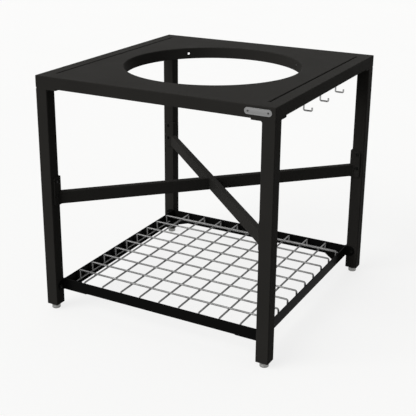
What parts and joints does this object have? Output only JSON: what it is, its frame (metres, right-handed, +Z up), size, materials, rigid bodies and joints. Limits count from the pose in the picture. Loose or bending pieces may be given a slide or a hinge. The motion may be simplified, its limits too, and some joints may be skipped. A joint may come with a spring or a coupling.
{
  "type": "grill frame",
  "caption": "Square black steel stand for a round grill: top with a collared cut-out, tube legs, flat X brace, wire shelf, tool hooks and levelling feet.",
  "frame": {"origin": "on the floor under the centre of the cut-out", "axes": "+Z up, -Y to the front apron with the badge, +X to the side with the hooks"},
  "size_m": [0.782, 0.7847, 0.77],
  "materials": {
    "frame_paint": "matt black powder coat",
    "shelf_enamel": "smooth deep black enamel",
    "bright_wire": "drawn wire, satin zinc plating",
    "foot_zinc": "turned, zinc plated",
    "plug_nylon": "moulded nylon",
    "bolt_black": "black oxide",
    "fastener_zinc": "zinc plated",
    "badge_aluminium": "brushed, blank"
  },
  "bodies": {
    "frame": {"badge_plate": "badge_aluminium", "badge_rivets": "bolt_black", "brace_bracket_bl": "frame_paint", "brace_bracket_br": "frame_paint", "brace_bracket_fl": "frame_paint", "brace_bracket_fr": "frame_paint", "brace_half_back": "frame_paint", "brace_half_front": "frame_paint", "brace_long": "frame_paint", "bracket_bolts": "bolt_black", "collar_ring": "frame_paint", "head_bolts": "bolt_black", "head_nuts": "fastener_zinc", "head_plate_bl": "frame_paint", "head_plate_br": "frame_paint", "head_plate_fl": "frame_paint", "head_plate_fr": "frame_paint", "head_welds": "frame_paint", "hook_back": "bright_wire", "hook_front": "bright_wire", "hook_mid": "bright_wire", "hook_nuts": "fastener_zinc", "leg_bl": "frame_paint", "leg_br": "frame_paint", "leg_fl": "frame_paint", "leg_fr": "frame_paint", "leg_plug_bl": "plug_nylon", "leg_plug_br": "plug_nylon", "leg_plug_fl": "plug_nylon", "leg_plug_fr": "plug_nylon", "leg_rivet_nuts": "fastener_zinc", "seam_strip_left": "frame_paint", "seam_strip_right": "frame_paint", "shelf_bolts": "bolt_black", "shelf_gusset_bl": "shelf_enamel", "shelf_gusset_br": "shelf_enamel", "shelf_gusset_fl": "shelf_enamel", "shelf_gusset_fr": "shelf_enamel", "shelf_rail_back": "shelf_enamel", "shelf_rail_front": "shelf_enamel", "shelf_rail_left": "shelf_enamel", "shelf_rail_right": "shelf_enamel", "side_rail_left": "frame_paint", "side_rail_right": "frame_paint", "top_panel": "frame_paint"},
    "grid": {"grid_cross_wires": "bright_wire", "grid_long_wires": "bright_wire", "grid_edge_wires": "bright_wire"},
    "pad_fl": {"foot_pad_fl": "foot_zinc"},
    "pad_fr": {"foot_pad_fr": "foot_zinc"},
    "pad_bl": {"foot_pad_bl": "foot_zinc"},
    "pad_br": {"foot_pad_br": "foot_zinc"},
    "stud_fl": {"foot_stud_fl": "foot_zinc"},
    "stud_fr": {"foot_stud_fr": "foot_zinc"},
    "stud_bl": {"foot_stud_bl": "foot_zinc"},
    "stud_br": {"foot_stud_br": "foot_zinc"}
  },
  "joints": [
    {"name": "foot_height_fl", "type": "slide", "parent": "frame", "child": "pad_fl", "axis": [0, 0, -1], "range_m": [-0.003, 0.015]},
    {"name": "stud_turn_fl", "type": "hinge", "parent": "pad_fl", "child": "stud_fl", "pos_m": [-0.371, -0.371, 0.03], "axis": [0, 0, -1], "range_deg": [-725, 3605]},
    {"name": "foot_height_fr", "type": "slide", "parent": "frame", "child": "pad_fr", "axis": [0, 0, -1], "range_m": [-0.003, 0.015]},
    {"name": "stud_turn_fr", "type": "hinge", "parent": "pad_fr", "child": "stud_fr", "pos_m": [0.371, -0.371, 0.03], "axis": [0, 0, -1], "range_deg": [-725, 3605]},
    {"name": "foot_height_bl", "type": "slide", "parent": "frame", "child": "pad_bl", "axis": [0, 0, -1], "range_m": [-0.003, 0.015]},
    {"name": "stud_turn_bl", "type": "hinge", "parent": "pad_bl", "child": "stud_bl", "pos_m": [-0.371, 0.371, 0.03], "axis": [0, 0, -1], "range_deg": [-725, 3605]},
    {"name": "foot_height_br", "type": "slide", "parent": "frame", "child": "pad_br", "axis": [0, 0, -1], "range_m": [-0.003, 0.015]},
    {"name": "stud_turn_br", "type": "hinge", "parent": "pad_br", "child": "stud_br", "pos_m": [0.371, 0.371, 0.03], "axis": [0, 0, -1], "range_deg": [-725, 3605]},
    {"name": "grid_lift", "type": "slide", "parent": "frame", "child": "grid", "axis": [0, 0, 1], "range_m": [0, 0.24]}
  ],
  "couplings": [
    {"joint": "stud_turn_fl", "follows": "foot_height_fl", "rad_per_m": 4188.8},
    {"joint": "stud_turn_fr", "follows": "foot_height_fr", "rad_per_m": 4188.8},
    {"joint": "stud_turn_bl", "follows": "foot_height_bl", "rad_per_m": 4188.8},
    {"joint": "stud_turn_br", "follows": "foot_height_br", "rad_per_m": 4188.8}
  ]
}
